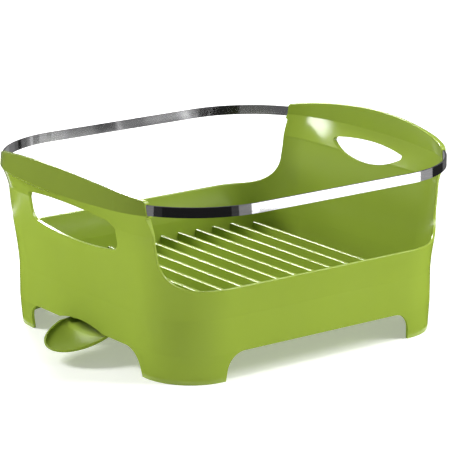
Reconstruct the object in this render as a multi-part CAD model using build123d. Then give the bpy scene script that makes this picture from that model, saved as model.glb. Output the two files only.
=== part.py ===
import os
from math import radians, sin, sqrt, tan
from build123d import *

# Driving sizes in millimetres. Origin: middle of the footprint, at the table. Z is up.
body_length = 352.0
body_width = 320.6
body_corner = 66.0
foot_inset = 5.4
foot_side_inset = 3.51
foot_corner = 54.0
wall = 3.0
notch_height = 28.7
crease_height = 64.0
rim_height = 94.3
under_lip_height = 146.0
ridge_height = 169.0
lip_top_height = 194.7
lip_end_height = 182.5
lip_thickness = 6.0
lip_cover = 1.9
lip_lean = 2.2
lip_bow_radius = 520.0
lip_inner_bow = 400.0
lip_end_slant = 2.5
lip_end_round = 4.0
hood_rise = 2.4
edge_round = 1.0

# Bright strip round the top.
rail_length = 397.4
rail_width = 361.4
rail_corner = 106.2
rail_height = 10.0
rail_thickness = 2.0
rail_bottom = 169.0
socket_gap = 0.25
socket_depth = 20.0
socket_floor = 2.0
socket_end_gap = 1.0

# Tall end wall: how far it reaches round the corner and how it falls to the low rim.
lip_end_reach = 128.5
wall_end_reach = 126.4
wall_end_step = 2.0
fall_inset = 2.0
fall_radius = 30.0
flare_length = 10.1
flare_width = 16.5
flare_corner = 20.5
flare_start = 0.3
flare_swell = 0.9
sweep_share = 0.42

# Floor and drying ribs.
floor_thickness = 3.2
floor_cove = 3.0
floor_step = 0.1
rib_count = 14
rib_pitch = 23.0
rib_height = 19.0
rib_top = 5.5
rib_base = 7.5
rib_round = 1.2
gutter_width = 24.0
gutter_height = 7.0
gutter_round = 5.6

# Barrel-shaped grip opening over the scoop, and the slimmer one at the other end.
handle_width = 152.0
handle_middle = 137.6
handle_height = 41.2
handle_end_height = 27.7
handle_round = 11.0
slim_width = 122.0
slim_top = 162.5
slim_tip = 157.6
slim_low = 141.0
slim_round = 2.5

# Gaps between the legs.
end_gap = 191.0
side_gap = 224.0
gap_round = 19.0
gap_spread = 2.0

# Drip scoop, turning on a pin under the floor.
scoop_reach = 47.0
scoop_width = 70.0
scoop_depth = 10.0
scoop_drop = 15.6
scoop_turn = 12.0
scoop_wall = 2.0
scoop_tail = 12.0
scoop_round = 0.6
pin_inset = 30.0
pin_radius = 4.0
pin_head = 1.8
pin_taper = 0.5
head_radius = 6.0
hub_radius = 8.0
pin_gap = 0.08
seat_gap = 0.1
swing_gap = 0.4
drain_width = 44.0
drain_length = 18.0
drain_round = 8.0
arch_width = 80.0
arch_rise = 5.5
arch_depth = 7.0

# Radius of ends that look straight, and how far cutting shapes reach past what they cut.
straight = 6000.0
past = 6.0
skim = 1.0

floor_bottom = notch_height + floor_step
floor_top = floor_bottom + floor_thickness
rail_x = rail_length / 2 - rail_corner
rail_y = rail_width / 2 - rail_corner
lip_outer = rail_corner + lip_cover
lip_inner = lip_outer - lip_thickness


def plan(height, half_x, half_y, corner, bow):
    """Closed outline: straight long sides, bowed ends, round corners, all tangent."""
    centre_y = half_y - corner
    run = sqrt((bow - corner) ** 2 - centre_y ** 2)
    centre_x = half_x - bow + run
    reach = bow / (bow - corner)
    touch_x = half_x - bow + run * reach
    touch_y = centre_y * reach
    lean_x = (touch_x - centre_x) / corner
    lean_y = (touch_y - centre_y) / corner + 1
    size = sqrt(lean_x ** 2 + lean_y ** 2)
    mid_x = centre_x + corner * lean_x / size
    mid_y = centre_y + corner * lean_y / size
    edges = []
    for sx, sy in ((1, 1), (-1, -1)):
        edges.append(Line((sx * centre_x, sy * half_y, height), (-sx * centre_x, sy * half_y, height)))
        edges.append(
            ThreePointArc(
                (-sx * centre_x, sy * half_y, height),
                (-sx * mid_x, sy * mid_y, height),
                (-sx * touch_x, sy * touch_y, height),
            )
        )
        edges.append(
            ThreePointArc(
                (-sx * touch_x, sy * touch_y, height),
                (-sx * half_x, 0, height),
                (-sx * touch_x, -sy * touch_y, height),
            )
        )
        edges.append(
            ThreePointArc(
                (-sx * touch_x, -sy * touch_y, height),
                (-sx * mid_x, -sy * mid_y, height),
                (-sx * centre_x, -sy * half_y, height),
            )
        )
    return Wire(edges)


def body_plan(height, inset):
    """Outline of the body at a height up to the underside of the lip."""
    half_x = body_length / 2 - inset
    half_y = body_width / 2 - inset
    corner = body_corner - inset
    if height < notch_height:
        taper = 1 - height / notch_height
        return plan(
            height,
            half_x - foot_inset * taper,
            half_y - foot_side_inset * taper,
            corner - (body_corner - foot_corner) * taper,
            straight,
        )
    if height > crease_height:
        t = (height - crease_height) / (under_lip_height - crease_height)
        grow = flare_start * t + flare_swell * t ** 2 + (1 - flare_start - flare_swell) * t ** 3
        half_x += flare_length * grow
        half_y += flare_width * grow
        corner += flare_corner * t ** 3
    return plan(height, half_x, half_y, corner, straight)


def lip_plan(height, corner, bow):
    """Outline of the lip, sharing the corner centres of the bright strip."""
    half_y = rail_y + corner
    run = sqrt((bow - corner) ** 2 - rail_y ** 2)
    return plan(height, rail_x + bow - run, half_y, corner, bow)


def sweep_plan(height, share, inset, corner, curve):
    """Outline part of the way from the wall out to the lip."""
    half_x = body_length / 2 + flare_length - inset
    half_y = body_width / 2 + flare_width - inset
    start = body_corner + flare_corner - inset
    run = sqrt((curve - corner) ** 2 - rail_y ** 2)
    end_x = rail_x + curve - run
    end_y = rail_y + corner
    bend = (1 - share) / straight + share / curve
    return plan(
        height,
        half_x + (end_x - half_x) * share,
        half_y + (end_y - half_y) * share,
        start + (corner - start) * share,
        1 / bend,
    )


def flare(inset, low, high):
    """Solid between two heights that takes in the gentle flare of the walls."""
    steps = 4
    rings = [body_plan(low + (high - low) * k / steps, inset) for k in range(steps + 1)]
    return Solid.make_loft(rings)


def hull(inset, corner, bow, rise, base):
    """Filled shape of the tub from the base up past the lip."""
    parts = []
    if base < notch_height:
        parts.append(Solid.make_loft([body_plan(h, inset) for h in (base, notch_height / 2, notch_height)]))
        base = notch_height
    parts.append(Solid.make_loft([body_plan(base, inset), body_plan(crease_height, inset)], True))
    start = under_lip_height + rise
    parts.append(flare(inset, crease_height, under_lip_height))
    if rise > 0:
        top = body_plan(under_lip_height, inset)
        parts.append(Solid.make_loft([top, top.moved(Location((0, 0, rise)))], True))
    middle = start + 0.5 * (ridge_height - under_lip_height)
    end = start + ridge_height - under_lip_height
    parts.append(
        Solid.make_loft(
            [
                sweep_plan(start, 0.0, inset, corner, bow),
                sweep_plan(middle, sweep_share, inset, corner, bow),
                sweep_plan(end, 1.0, inset, corner, bow),
            ]
        )
    )
    above = lip_top_height + past
    lean = lip_lean * (above - end) / (lip_top_height - ridge_height)
    parts.append(
        Solid.make_loft([lip_plan(end, corner, bow), lip_plan(above, corner - lean, bow - lean)], True)
    )
    whole = parts[0]
    for piece in parts[1:]:
        whole = whole + piece
    return whole


def along_x(outline, length):
    """Solid with an outline given as (y, z), drawn out along X both ways."""
    return extrude(Plane.YZ * outline, length, both=True)


def along_y(outline, length):
    """Solid with an outline given as (x, z), drawn out along Y both ways."""
    return extrude(Plane.XZ * outline, length, both=True)


def side_outline():
    """Side view of the tub: low rims, falling edges of the tall ends and the arched lip top."""
    far = rail_width
    lip_base = rail_bottom - socket_floor
    edge = body_width / 2 - fall_inset
    end_top = lip_end_reach - lip_end_slant
    fall = edge - fall_radius
    right = [
        Line((far, -past), (far, rim_height)),
        Line((far, rim_height), (edge, rim_height)),
        RadiusArc((edge, rim_height), (fall, rim_height + fall_radius), fall_radius),
        Line((fall, rim_height + fall_radius), (wall_end_reach, lip_base - wall_end_step)),
        Line((wall_end_reach, lip_base - wall_end_step), (lip_end_reach, lip_base)),
        Line((lip_end_reach, lip_base), (end_top, lip_end_height)),
    ]
    left = [edge_piece.mirror(Plane.YZ) for edge_piece in right]
    top = ThreePointArc(
        (end_top, lip_end_height),
        (0, lip_top_height),
        (-end_top, lip_end_height),
    )
    base = Line((far, -past), (-far, -past))
    sheet = make_face(right + left + [top, base])
    corners = [v for v in sheet.vertices() if abs(v.Y - lip_end_height) < 0.01]
    return fillet(corners, lip_end_round)


def leg_gap(width):
    """Rounded gap between two legs, open at the table."""
    sheet = make_face(
        Polyline(
            (-width / 2 - gap_spread, -skim),
            (-width / 2 + gap_spread / 2, notch_height),
            (width / 2 - gap_spread / 2, notch_height),
            (width / 2 + gap_spread, -skim),
            close=True,
        )
    )
    corners = [v for v in sheet.vertices() if v.Y > 1]
    return fillet(corners, gap_round)


def handle_outline():
    """Barrel-shaped grip opening."""
    half = handle_width / 2
    low = handle_middle - handle_end_height / 2
    high = handle_middle + handle_end_height / 2
    sheet = make_face(
        [
            ThreePointArc((-half, high), (0, handle_middle + handle_height / 2), (half, high)),
            Line((half, high), (half, low)),
            ThreePointArc((half, low), (0, handle_middle - handle_height / 2), (-half, low)),
            Line((-half, low), (-half, high)),
        ]
    )
    return fillet(sheet.vertices(), handle_round)


def slim_outline():
    """Lens-shaped grip opening."""
    half = slim_width / 2
    sheet = make_face(
        [
            ThreePointArc((-half, slim_tip), (0, slim_top), (half, slim_tip)),
            ThreePointArc((half, slim_tip), (0, slim_low), (-half, slim_tip)),
        ]
    )
    return fillet(sheet.vertices(), slim_round)


def rail_ring(gap):
    """Closed strip at the height of the bright rails, larger by a gap on the sides and above."""
    out = plan(rail_bottom, rail_length / 2 + gap, rail_width / 2 + gap, rail_corner + gap, straight)
    inside = rail_thickness + gap
    hole = plan(
        rail_bottom,
        rail_length / 2 - inside,
        rail_width / 2 - inside,
        rail_corner - inside,
        straight,
    )
    return extrude(Face(out, [hole]), rail_height + gap, dir=(0, 0, 1))


def beyond(start, side):
    """Large block that takes in everything past a distance on one long side."""
    block = Box(3 * rail_length, 2 * rail_width, rail_width)
    return Pos(0, side * (start + rail_width), rail_bottom) * block


def ribs():
    """Row of drying ribs across the floor, with a gutter cut through along the middle."""
    low = floor_top - floor_thickness / 2
    high = floor_top + rib_height
    sheet = make_face(
        Polyline(
            (-rib_base / 2, low),
            (-rib_top / 2, high),
            (rib_top / 2, high),
            (rib_base / 2, low),
            close=True,
        )
    )
    sheet = fillet([v for v in sheet.vertices() if v.Y > floor_top], rib_round)
    bar = along_y(sheet, body_width)
    room = Solid.make_loft([body_plan(floor_bottom, wall / 2), body_plan(crease_height, wall / 2)], True)
    gutter = RectangleRounded(gutter_width, 2 * gutter_height, gutter_round)
    channel = along_x(Pos(0, floor_top) * gutter, body_length)
    made = []
    for k in range(rib_count):
        x = (k - (rib_count - 1) / 2) * rib_pitch
        made.append((Pos(x, 0, 0) * bar) & room)
    return [piece - channel for piece in made]


def scoop_shapes(inset):
    """Filled level trough under the floor and filled tilted half egg out to the tip."""
    reach = scoop_reach - inset
    width = scoop_width / 2 - inset
    depth = scoop_depth - inset
    trough = extrude(Plane.YZ * Ellipse(width, depth), pin_inset + scoop_tail - inset)
    egg = scale(Sphere(1.0), by=(reach, width, depth))
    egg = egg & (Pos(-reach, 0, 0) * Box(2 * reach, 4 * reach, 4 * reach))
    return trough, Rot(0, -scoop_drop, 0) * egg


def scoop():
    """Drip scoop with its wall line at the origin and a hub for the pin in the level part."""
    tall = 4 * scoop_reach
    trough, egg = scoop_shapes(0.0)
    egg = egg & (Rot(0, -scoop_drop, 0) * Pos(0, 0, -tall / 2) * Box(tall, tall, tall))
    body = (trough & (Pos(0, 0, -tall / 2) * Box(tall, tall, tall))) + egg
    for room in scoop_shapes(scoop_wall):
        body = body - room
    post = Cylinder(hub_radius, scoop_depth, align=(Align.CENTER, Align.CENTER, Align.MAX))
    hub = Pos(pin_inset, 0, 0) * post & trough
    body = body + hub
    body = body - Pos(pin_inset, 0, 0) * Cylinder(pin_radius + pin_gap, tall)
    rims = [e for e in body.edges() if e.center().X < 1 and on_rim(e)]
    return soften(body.solid(), rims, scoop_round)


def on_rim(edge):
    """True for the edges of the sloping top of the scoop."""
    low = scoop_reach * sin(radians(scoop_drop))
    ends = [edge.position_at(k / 4) for k in range(5)]
    slope = tan(radians(scoop_drop))
    return all(abs(p.Z - p.X * slope) < 0.05 and p.Z > -low - 1 for p in ends) and edge.length > 5


def pin():
    """Pin under the floor with a snap head that holds the scoop up."""
    under = scoop_depth + swing_gap + seat_gap
    side = [
        (0, floor_thickness / 2),
        (pin_radius, floor_thickness / 2),
        (pin_radius, -under),
        (head_radius, -under),
        (pin_radius - pin_taper, -under - pin_head),
        (0, -under - pin_head),
    ]
    return revolve(Plane.XZ * make_face(Polyline(*side, close=True)), Axis.Z)


def soften(part, edges, radius):
    """Round edges, with a smaller radius when the full one does not fit."""
    for share in (1.0, 0.75, 0.5):
        try:
            rounded = part.fillet(radius * share, edges)
        except ValueError:
            continue
        if rounded.is_valid:
            return rounded
    return part


def cut_edges(part, grip):
    """Outer and inner edges of the grip openings, or of the rims and tall edges."""
    seen = {}
    for face in part.faces():
        middle = face.center()
        flat = face.geom_type in (GeomType.PLANE, GeomType.CYLINDER)
        if not flat or abs(face.normal_at().X) > 0.002 or middle.Z < rim_height - 1:
            continue
        inside = abs(middle.Y) < handle_width / 2 + 1 and middle.Z < ridge_height
        if inside != grip:
            continue
        for edge in face.edges():
            c = edge.center()
            key = (round(c.X, 2), round(c.Y, 2), round(c.Z, 2), round(edge.length, 2))
            seen.setdefault(key, []).append(edge)
    return [pair[0] for pair in seen.values() if len(pair) == 1]


# Shell of the tub.
outer = hull(0.0, lip_outer, lip_bow_radius, 0.0, 0.0)
inner = hull(wall, lip_inner, lip_inner_bow, hood_rise, floor_top)
floor_edges = [e for e in inner.edges() if e.bounding_box().max.Z < floor_top + 0.01]
inner = soften(inner, floor_edges, floor_cove)
under = Solid.make_loft([body_plan(h, wall) for h in (-2 * skim, floor_bottom / 2, floor_bottom)])
tub = outer - inner - under
tub = tub & along_x(side_outline(), rail_length)
tub = tub - along_x(leg_gap(end_gap), rail_length)
tub = tub - along_y(leg_gap(side_gap), rail_width)
tub = tub - Pos(-rail_length, 0, 0) * along_x(handle_outline(), rail_length)
tub = tub - Pos(rail_length, 0, 0) * along_x(slim_outline(), rail_length)
tub = soften(tub.solid(), cut_edges(tub, True), edge_round)
tub = soften(tub, cut_edges(tub, False), edge_round)

# Drain: a hole in the floor over the scoop and an arch in the wall above it.
hole = RectangleRounded(drain_length, drain_width, drain_round)
hole_middle = drain_length / 2 + wall - body_length / 2
tub = tub - extrude(Pos(hole_middle, 0, floor_bottom - skim) * hole, floor_thickness + floor_cove + 2 * skim)
arch = make_face(
    [
        ThreePointArc(
            (-arch_width / 2, notch_height - skim / 2),
            (0, notch_height + arch_rise),
            (arch_width / 2, notch_height - skim / 2),
        ),
        Line((-arch_width / 2, notch_height - skim / 2), (arch_width / 2, notch_height - skim / 2)),
    ]
)
tub = tub - Pos(-body_length / 2, 0, 0) * along_x(arch, arch_depth)

# Sockets in the lip ends, ribs and the pin.
ring = rail_ring(socket_gap)
for side in (1, -1):
    tub = tub - (ring & beyond(lip_end_reach - socket_depth, side))
pivot = Pos(pin_inset - body_length / 2, 0, floor_bottom)
tub = tub + ribs() + pivot * pin()

rail = rail_ring(0.0)
rear_rail = rail & beyond(lip_end_reach - socket_depth + socket_end_gap, 1)
front_rail = rail & beyond(lip_end_reach - socket_depth + socket_end_gap, -1)
turned = Rot(0, 0, scoop_turn) * Pos(-pin_inset, 0, -swing_gap) * scoop()
spout = pivot * turned

# The scoop reaches further out than the lip, so everything moves along X to keep the origin central.
lip_reach = rail_x + lip_bow_radius - sqrt((lip_bow_radius - lip_outer) ** 2 - rail_y ** 2)
tip_reach = body_length / 2 - pin_inset - turned.bounding_box().min.X
centring = Pos(max(0.0, tip_reach - lip_reach) / 2, 0, 0)

os.makedirs("parts", exist_ok=True)
for name, piece in (
    ("tub", tub),
    ("rear_rail", rear_rail),
    ("front_rail", front_rail),
    ("spout", spout),
):
    placed = centring * piece
    print(name, len(placed.solids()), round(placed.volume), placed.is_valid)
    export_step(placed.solid(), "parts/" + name + ".step")
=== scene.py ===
import bpy
import math
from mathutils import Matrix, Vector

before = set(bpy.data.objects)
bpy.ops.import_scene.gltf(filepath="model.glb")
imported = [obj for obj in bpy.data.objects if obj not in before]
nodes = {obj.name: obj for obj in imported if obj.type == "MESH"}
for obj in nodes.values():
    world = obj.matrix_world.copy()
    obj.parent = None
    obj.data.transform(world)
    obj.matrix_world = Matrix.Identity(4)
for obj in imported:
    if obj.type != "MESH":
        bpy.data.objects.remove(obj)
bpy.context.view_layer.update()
bpy.ops.object.select_all(action="DESELECT")
scene = bpy.context.scene
scene.view_settings.view_transform = "Standard"
scene.view_settings.look = "None"
print("frame loaded:", sorted(nodes))


def newMaterial(name):
    mat = bpy.data.materials.new(name)
    mat.use_nodes = True
    return mat, mat.node_tree.nodes["Principled BSDF"]


def addNoise(tree, coords, scale, detail, stretch=(1, 1, 1)):
    mapping = tree.nodes.new("ShaderNodeMapping")
    mapping.inputs["Scale"].default_value = stretch
    tree.links.new(coords.outputs["Object"], mapping.inputs["Vector"])
    noise = tree.nodes.new("ShaderNodeTexNoise")
    noise.inputs["Scale"].default_value = scale
    noise.inputs["Detail"].default_value = detail
    tree.links.new(mapping.outputs["Vector"], noise.inputs["Vector"])
    return noise.outputs["Fac"]


def spread(tree, source, span, low=0.0, high=1.0):
    ramp = tree.nodes.new("ShaderNodeMapRange")
    ramp.inputs["From Min"].default_value = span[0]
    ramp.inputs["From Max"].default_value = span[1]
    ramp.inputs["To Min"].default_value = low
    ramp.inputs["To Max"].default_value = high
    tree.links.new(source, ramp.inputs["Value"])
    return ramp.outputs["Result"]


def mixColours(tree, source, span, first, second):
    ramp = tree.nodes.new("ShaderNodeValToRGB")
    ramp.color_ramp.elements[0].position = span[0]
    ramp.color_ramp.elements[0].color = first
    ramp.color_ramp.elements[1].position = span[1]
    ramp.color_ramp.elements[1].color = second
    tree.links.new(source, ramp.inputs["Fac"])
    return ramp.outputs["Color"]


def multiply(tree, first, second):
    product = tree.nodes.new("ShaderNodeMath")
    product.operation = "MULTIPLY"
    tree.links.new(first, product.inputs[0])
    tree.links.new(second, product.inputs[1])
    return product.outputs["Value"]


def addBump(tree, shader, source, strength, depth):
    bump = tree.nodes.new("ShaderNodeBump")
    bump.inputs["Strength"].default_value = strength
    bump.inputs["Distance"].default_value = depth
    tree.links.new(source, bump.inputs["Height"])
    tree.links.new(bump.outputs["Normal"], shader.inputs["Normal"])


def dress(node, mat):
    node.data.materials.clear()
    node.data.materials.append(mat)


# noise stays near its middle, so only that part of it is spread out
noiseSpan = {
    "colour": (0.32, 0.68),
    "gloss": (0.3, 0.7),
}

# skin that both green mouldings have: pigment drift, haze and orange peel
skin = {
    "driftScale": 9.0,
    "driftDetail": 3.0,
    "driftStretch": (1, 1, 0.6),
    "hazeScale": 26.0,
    "hazeDetail": 4.0,
    "peelScale": 420.0,
    "peelDetail": 2.0,
    "peelStrength": 0.25,
    "peelDepth": 0.00003,
    "ior": 1.49,
}


def paintedLipShade(tree, coords, colour, look):
    # painted shade: the outside of the lips is darkened above the ridge, on faces that look outwards
    place = tree.nodes.new("ShaderNodeSeparateXYZ")
    tree.links.new(coords.outputs["Object"], place.inputs["Vector"])
    facing = tree.nodes.new("ShaderNodeSeparateXYZ")
    tree.links.new(coords.outputs["Normal"], facing.inputs["Vector"])
    outward = multiply(tree, place.outputs["X"], facing.outputs["X"])
    looksOut = spread(tree, outward, look["lipOutward"])
    high = spread(tree, place.outputs["Z"], look["lipHeight"])
    lipShaded = tree.nodes.new("ShaderNodeMixRGB")
    lipShaded.blend_type = "MULTIPLY"
    lipShaded.inputs["Color2"].default_value = look["lipPaintedShade"]
    tree.links.new(multiply(tree, looksOut, high), lipShaded.inputs["Fac"])
    tree.links.new(colour, lipShaded.inputs["Color1"])
    return lipShaded.outputs["Color"]


def mouldedPlastic(name, look):
    mat, shader = newMaterial(name)
    tree = mat.node_tree
    coords = tree.nodes.new("ShaderNodeTexCoord")
    drift = addNoise(tree, coords, skin["driftScale"], skin["driftDetail"], skin["driftStretch"])
    colour = mixColours(tree, drift, noiseSpan["colour"], look["greenDeep"], look["green"])
    # painted shade on the outside of the lips
    if "lipPaintedShade" in look:
        colour = paintedLipShade(tree, coords, colour, look)
    tree.links.new(colour, shader.inputs["Base Color"])
    haze = addNoise(tree, coords, skin["hazeScale"], skin["hazeDetail"])
    tree.links.new(spread(tree, haze, noiseSpan["gloss"], *look["gloss"]), shader.inputs["Roughness"])
    peel = addNoise(tree, coords, skin["peelScale"], skin["peelDetail"])
    addBump(tree, shader, peel, skin["peelStrength"], skin["peelDepth"])
    shader.inputs["IOR"].default_value = skin["ior"]
    shader.inputs["Specular IOR Level"].default_value = look["shine"]
    return mat


# green moulding
tubLook = {
    "green": (0.290, 0.392, 0.047, 1.0),
    "greenDeep": (0.275, 0.373, 0.043, 1.0),
    "gloss": (0.12, 0.19),
    "shine": 0.38,
    # painted shade on the outside of the lips
    "lipPaintedShade": (0.62, 0.62, 0.62, 1.0),
    "lipOutward": (0.02, 0.06),
    "lipHeight": (0.1685, 0.1695),
}
dress(nodes["tub"], mouldedPlastic("greenMoulding", tubLook))
nodes["tub"].visible_glossy = False  # the strip mirrors the studio, not the tub

# drip scoop, the same plastic but a little duller; its green is a little darker as painted shade,
# standing in for the shade it sits in under the tub
scoopLook = {
    "green": (0.246, 0.333, 0.041, 1.0),
    "greenDeep": (0.230, 0.313, 0.037, 1.0),
    "gloss": (0.42, 0.5),
    "shine": 0.03,
}
dress(nodes["spout"], mouldedPlastic("scoopMoulding", scoopLook))

# bright strip, fine rolling lines along it and a smeared polish
stripLook = {
    "bright": (0.83, 0.83, 0.84, 1.0),
    "dull": (0.74, 0.74, 0.755, 1.0),
    "gloss": (0.04, 0.09),
    "grainScale": 60.0,
    "grainDetail": 3.0,
    "grainStretch": (1, 1, 12),
    "grainStrength": 0.2,
    "grainDepth": 0.00001,
    "smearScale": 14.0,
    "smearDetail": 3.0,
}


def platedSteel(name, look):
    mat, shader = newMaterial(name)
    tree = mat.node_tree
    coords = tree.nodes.new("ShaderNodeTexCoord")
    grain = addNoise(tree, coords, look["grainScale"], look["grainDetail"], look["grainStretch"])
    colour = mixColours(tree, grain, noiseSpan["colour"], look["dull"], look["bright"])
    tree.links.new(colour, shader.inputs["Base Color"])
    smear = addNoise(tree, coords, look["smearScale"], look["smearDetail"])
    tree.links.new(spread(tree, smear, noiseSpan["gloss"], *look["gloss"]), shader.inputs["Roughness"])
    addBump(tree, shader, grain, look["grainStrength"], look["grainDepth"])
    shader.inputs["Metallic"].default_value = 1.0
    return mat


strip = platedSteel("brightStrip", stripLook)
dress(nodes["front_rail"], strip)
dress(nodes["rear_rail"], strip)
print("finishes set")

white = (1, 1, 1, 1)
black = (0, 0, 0, 1)
# pale floor and the soft fill of the room
studio = {
    "floorSize": 14.0,
    "floorColour": (0.86, 0.86, 0.86, 1.0),
    "floorRoughness": 0.6,
    "glowFrom": (0.35, 1.3),  # metres from the middle
    "glow": (0.3, 0.8),  # near the rack and far from it
    "fillFrom": (0.15, 0.75),  # height in the sky, 1 is overhead
    "fillSide": (0.1, 0.1, 0.1, 1),
    "fillTop": (0.2, 0.2, 0.2, 1),
}


def addFloor():
    bpy.ops.mesh.primitive_plane_add(size=studio["floorSize"], location=(0, 0, 0))
    floor = bpy.context.object
    floor.name = "floor"
    mat, shader = newMaterial("paleFloor")
    tree = mat.node_tree
    shader.inputs["Base Color"].default_value = studio["floorColour"]
    shader.inputs["Roughness"].default_value = studio["floorRoughness"]
    shader.inputs["Emission Color"].default_value = white
    coords = tree.nodes.new("ShaderNodeTexCoord")
    distance = tree.nodes.new("ShaderNodeVectorMath")
    distance.operation = "LENGTH"
    tree.links.new(coords.outputs["Object"], distance.inputs[0])
    glow = spread(tree, distance.outputs["Value"], studio["glowFrom"], *studio["glow"])
    tree.links.new(glow, shader.inputs["Emission Strength"])
    floor.data.materials.append(mat)


def setWorld():
    world = bpy.data.worlds.new("softRoom")
    scene.world = world
    world.use_nodes = True
    tree = world.node_tree
    coords = tree.nodes.new("ShaderNodeTexCoord")
    split = tree.nodes.new("ShaderNodeSeparateXYZ")
    tree.links.new(coords.outputs["Generated"], split.inputs["Vector"])
    fill = mixColours(tree, split.outputs["Z"], studio["fillFrom"], studio["fillSide"], studio["fillTop"])
    background = tree.nodes["Background"]
    background.inputs["Strength"].default_value = 1.0
    tree.links.new(fill, background.inputs["Color"])


addFloor()
setWorld()

# painted reflections: glowing sheets on the floor that only the strip's mirror sees, each with its
# brightness last:
# angles for the near strip, angles and radii for the far bends, stretches of X for the far run
stripFlags = {
    "near": (
        (-39, -21, 0.37),
        (-21, 3, 0.02),
        (3, 98, 0.13),
        (186, 198.5, 0.2),
        (198.5, 206, 0.03),
        (206, 265, 0.012),
        (265, 272, 0.05),
        (272, 285, 0.25),
    ),
    "nearRadii": (0.5, 6.0),
    "nearHeight": 0.004,
    "bends": (
        (40, 80, 0.62, 0.8, 0.3),
        (22, 40, 0.58, 0.7, 0.2),
        (13, 22, 0.56, 0.66, 0.13),
        (5, 13, 0.54, 0.63, 0.012),
        (-8, 5, 0.52, 0.61, 0.16),
        (-14, -8, 0.51, 0.6, 0.27),
        (-20, -14, 0.5, 0.59, 0.6),
        (-33, -20, 0.49, 0.58, 0.23),
        (-56, -33, 0.48, 0.57, 0.5),
        (-60, -38, 0.57, 0.75, 0.012),
        (-104, -60, 0.48, 0.74, 0.012),
        (-180, -104, 0.48, 0.7, 0.12),
    ),
    "bendHeight": 0.006,
    "run": (
        (0.302, 0.328, 0.5),
        (0.328, 0.371, 0.26),
        (0.371, 0.409, 0.1),
        (0.409, 0.413, 0.9),
        (0.413, 0.455, 0.22),
        (0.455, 0.515, 0.4),
        (0.515, 0.529, 1.2),
        (0.529, 0.57, 0.012),
    ),
    "runEdges": ((-0.395, -0.021), (-0.4525, 0.0152)),  # Y of an edge and how far it is shifted in X
    "runHeight": 0.008,
}
# painted sheen: glowing sheets on the floor, seen only in mirrors, for the sheen of the tub: angles,
# radii, brightness
tubFlags = {
    "left": (98, 186, 0.5, 3.0, 0.05),  # dark sheet, painted shade in the sheen on the outside of the left lip
    "foot": (0, 360, 0.01, 0.48, 0.6),  # painted reflection of the tub in its own colour, since mirrors don't see the tub
    "height": 0.004,
}
widestSector = 15  # degrees, a wider sheet is made of several


def addFlag(name, corners, tone, colour):
    # glowing sheet that only mirrors see, a painted reflection
    bpy.ops.mesh.primitive_plane_add(size=1)
    flag = bpy.context.object
    flag.name = name
    for vertex, place in zip(flag.data.vertices, corners):
        vertex.co = place
    mat, shader = newMaterial(name + "Cloth")
    shader.inputs["Base Color"].default_value = black
    shader.inputs["Specular IOR Level"].default_value = 0
    shader.inputs["Emission Color"].default_value = colour
    shader.inputs["Emission Strength"].default_value = tone
    flag.data.materials.append(mat)
    flag.visible_camera = False
    flag.visible_shadow = False
    flag.visible_diffuse = False


def floorFlag(name, fromAngle, toAngle, near, far, tone, height, colour=white):
    # sector of a ring on the floor, angles from +X towards +Y
    parts = math.ceil((toAngle - fromAngle) / widestSector)
    step = (toAngle - fromAngle) / parts
    for part in range(parts):
        corners = []
        for radius in (near, far):
            for angle in (fromAngle + step * part, fromAngle + step * (part + 1)):
                turn = math.radians(angle)
                corners.append((radius * math.cos(turn), radius * math.sin(turn), height))
        addFlag("%s%d" % (name, part), corners, tone, colour)


def leaningFlag(name, start, end, tone):
    # on the floor in front, its ends slanted so that they look upright in the far run
    corners = []
    for y, lean in stripFlags["runEdges"]:
        for x in (start, end):
            corners.append((x + lean, y, stripFlags["runHeight"]))
    addFlag(name, corners, tone, white)


for place, (start, end, tone) in enumerate(stripFlags["near"]):
    near, far = stripFlags["nearRadii"]
    floorFlag("nearFlag%d_" % place, start, end, near, far, tone, stripFlags["nearHeight"])
for place, (start, end, near, far, tone) in enumerate(stripFlags["bends"]):
    floorFlag("bendFlag%d_" % place, start, end, near, far, tone, stripFlags["bendHeight"])
for place, (start, end, tone) in enumerate(stripFlags["run"]):
    leaningFlag("runFlag%d" % place, start, end, tone)
floorFlag("leftFlag", *tubFlags["left"], tubFlags["height"])
floorFlag("footFlag", *tubFlags["foot"], tubFlags["height"], tubLook["green"])
print("sheets laid")

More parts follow.
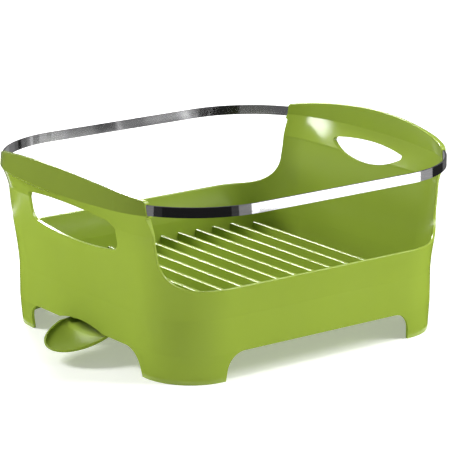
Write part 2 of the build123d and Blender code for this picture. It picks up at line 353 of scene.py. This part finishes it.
# soft boxes: place, width, height, power
lampAim = (0, 0, 0.1)
lampBoxes = {
    "leftBox": ((-1.144, 1.144, 1.276), 0.7, 0.7, 36.0),
    "rightBox": ((1.144, -1.144, 1.276), 0.7, 0.7, 20.5),
    "topBox": ((0.664, -0.664, 1.866), 0.7, 0.7, 25.0),
    "edgeBox": ((0.658, 1.55, 1.178), 0.8, 0.5, 60.0),
}


def addLamp(name, place, width, height, power):
    bpy.ops.object.light_add(type="AREA", location=place)
    lamp = bpy.context.object
    lamp.name = name
    lamp.data.shape = "RECTANGLE"
    lamp.data.size = width
    lamp.data.size_y = height
    lamp.data.energy = power
    lamp.rotation_euler = (Vector(lampAim) - Vector(place)).to_track_quat("-Z", "Y").to_euler()
    return lamp


lamps = {name: addLamp(name, *box) for name, box in lampBoxes.items()}
lamps["edgeBox"].visible_diffuse = False  # gives highlights only
print("studio lit")

# camera: same angle and frame as the photograph
cameraPlace = {
    "turn": 36.55,
    "rise": 15.31,
    "distance": 2.61576,
    "aim": (0.006416, 0.0, 0.09702),
    "focalPixels": 2566.4,
    "imageWidth": 450,
    "centre": (224.07, 230.38),
    "sensorWidth": 36,
    "clipEnd": 60,
}


def addCamera():
    turn = math.radians(cameraPlace["turn"])
    rise = math.radians(cameraPlace["rise"])
    back = Vector((-math.sin(turn) * math.cos(rise), -math.cos(turn) * math.cos(rise), math.sin(rise)))
    right = Vector((math.cos(turn), -math.sin(turn), 0))
    up = back.cross(right)
    bpy.ops.object.camera_add()
    cam = bpy.context.object
    cam.matrix_world = Matrix((right, up, back)).transposed().to_4x4()
    cam.location = Vector(cameraPlace["aim"]) + back * cameraPlace["distance"]
    width = cameraPlace["imageWidth"]
    cam.data.sensor_width = cameraPlace["sensorWidth"]
    cam.data.lens = cameraPlace["sensorWidth"] * cameraPlace["focalPixels"] / width
    cam.data.shift_x = (width / 2 - cameraPlace["centre"][0]) / width
    cam.data.shift_y = (cameraPlace["centre"][1] - width / 2) / width
    cam.data.clip_end = cameraPlace["clipEnd"]
    scene.camera = cam


addCamera()
print("camera placed")
